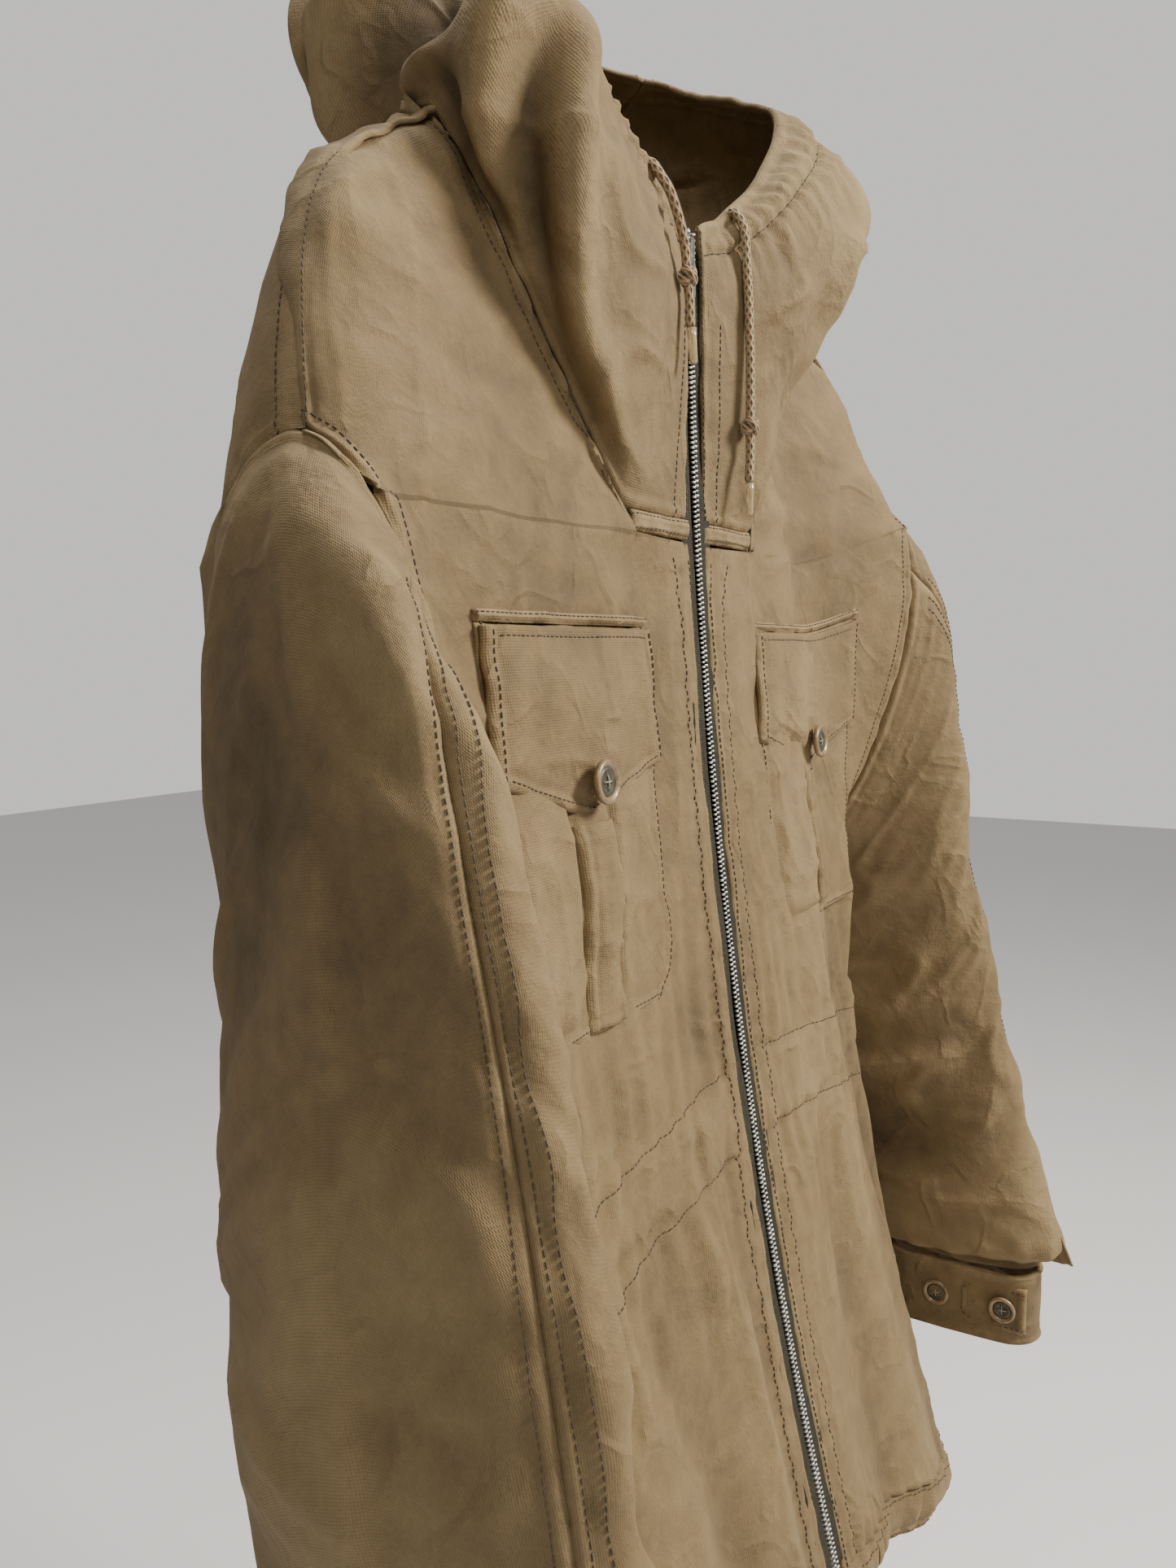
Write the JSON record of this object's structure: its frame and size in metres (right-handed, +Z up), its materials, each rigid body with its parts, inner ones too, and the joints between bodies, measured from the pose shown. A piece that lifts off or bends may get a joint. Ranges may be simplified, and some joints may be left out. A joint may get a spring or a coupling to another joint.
{
  "type": "hooded zip-front field parka",
  "caption": "Hooded cotton field parka on a hanger: zip front, flapped chest pockets, waist casing, drop-shoulder sleeves with button cuffs, slouched drawcord hood.",
  "frame": {"origin": "where the hanger carries the shoulders: on the centre plane, in the hanger's plane, at the height of the top of the front zip", "axes": "+Z up, front of the garment towards -Y, +X the wearer's left"},
  "size_m": [0.6128, 0.3951, 0.963],
  "materials": {
    "cloth": "matt, washed cotton drill",
    "tape": "matt herringbone tape",
    "teeth": "bright, slightly worn",
    "gunmetal": "satin gunmetal",
    "button": "glossy brown horn pattern",
    "cord": "braided cotton",
    "aglet": "clear yellowed sleeve"
  },
  "bodies": {
    "coat": {"back_panel": "cloth", "chest_band_left": "cloth", "chest_band_right": "cloth", "cord_aglet_left": "aglet", "cord_aglet_right": "aglet", "cord_knot_left": "cord", "cord_knot_right": "cord", "drawcord_left": "cord", "drawcord_right": "cord", "flap_welt_left": "cloth", "flap_welt_right": "cloth", "front_panel_left": "cloth", "front_panel_right": "cloth", "hanging_loop": "tape", "hem_band_back": "cloth", "hem_band_left": "cloth", "hem_band_right": "cloth", "hood_crown": "cloth", "hood_rim_left": "cloth", "hood_rim_right": "cloth", "hood_side_left": "cloth", "hood_side_right": "cloth", "neck_facing": "cloth", "pocket_button_left": "button", "pocket_button_right": "button", "pocket_left": "cloth", "pocket_pleat_left": "cloth", "pocket_pleat_right": "cloth", "pocket_right": "cloth", "waist_casing_back": "cloth", "waist_casing_left": "cloth", "waist_casing_right": "cloth", "zip_bottom_box": "teeth", "zip_facing_left": "cloth", "zip_facing_right": "cloth", "zip_tape_left": "tape", "zip_tape_right": "tape", "zip_teeth_left": "teeth", "zip_teeth_right": "teeth", "zip_top_stop_left": "teeth", "zip_top_stop_right": "teeth"},
    "slider": {"zip_slider": "gunmetal"},
    "pull": {"zip_pull": "gunmetal"},
    "flap_right": {"pocket_flap_right": "cloth"},
    "sleeve_right": {"sleeve_front_right": "cloth", "sleeve_back_right": "cloth", "cuff_right": "cloth", "cuff_button_right": "button", "tab_button_right": "button", "sleeve_vent_right": "cloth"},
    "tab_right": {"cuff_tab_right": "cloth"},
    "flap_left": {"pocket_flap_left": "cloth"},
    "sleeve_left": {"sleeve_front_left": "cloth", "sleeve_back_left": "cloth", "cuff_left": "cloth", "cuff_button_left": "button", "tab_button_left": "button", "sleeve_vent_left": "cloth"},
    "tab_left": {"cuff_tab_left": "cloth"}
  },
  "joints": [
    {"name": "zip_travel", "type": "hinge", "parent": "coat", "child": "slider", "pos_m": [0, -2.96, 0], "axis": [-1, 0, 0], "range_deg": [0, 13.6]},
    {"name": "pull_swing", "type": "hinge", "parent": "slider", "child": "pull", "pos_m": [0, -0.06096, -0.00575], "axis": [-1, 0, 0], "range_deg": [0, 150]},
    {"name": "flap_lift_right", "type": "hinge", "parent": "coat", "child": "flap_right", "pos_m": [-0.1345, -0.07195, -0.2081], "axis": [-1, 0, 0], "range_deg": [0, 120]},
    {"name": "sleeve_swing_right", "type": "hinge", "parent": "coat", "child": "sleeve_right", "pos_m": [-0.256, -0.025, -0.134], "axis": [0, 1, 0], "range_deg": [0, 30]},
    {"name": "cuff_tab_right", "type": "hinge", "parent": "sleeve_right", "child": "tab_right", "pos_m": [-0.26005, -0.153, -0.686], "axis": [0, 0, 1], "range_deg": [0, 90]},
    {"name": "flap_lift_left", "type": "hinge", "parent": "coat", "child": "flap_left", "pos_m": [0.1345, -0.07195, -0.2081], "axis": [-1, 0, 0], "range_deg": [0, 120]},
    {"name": "sleeve_swing_left", "type": "hinge", "parent": "coat", "child": "sleeve_left", "pos_m": [0.256, -0.025, -0.134], "axis": [0, -1, 0], "range_deg": [0, 30]},
    {"name": "cuff_tab_left", "type": "hinge", "parent": "sleeve_left", "child": "tab_left", "pos_m": [0.26005, -0.153, -0.686], "axis": [0, 0, -1], "range_deg": [0, 90]}
  ]
}
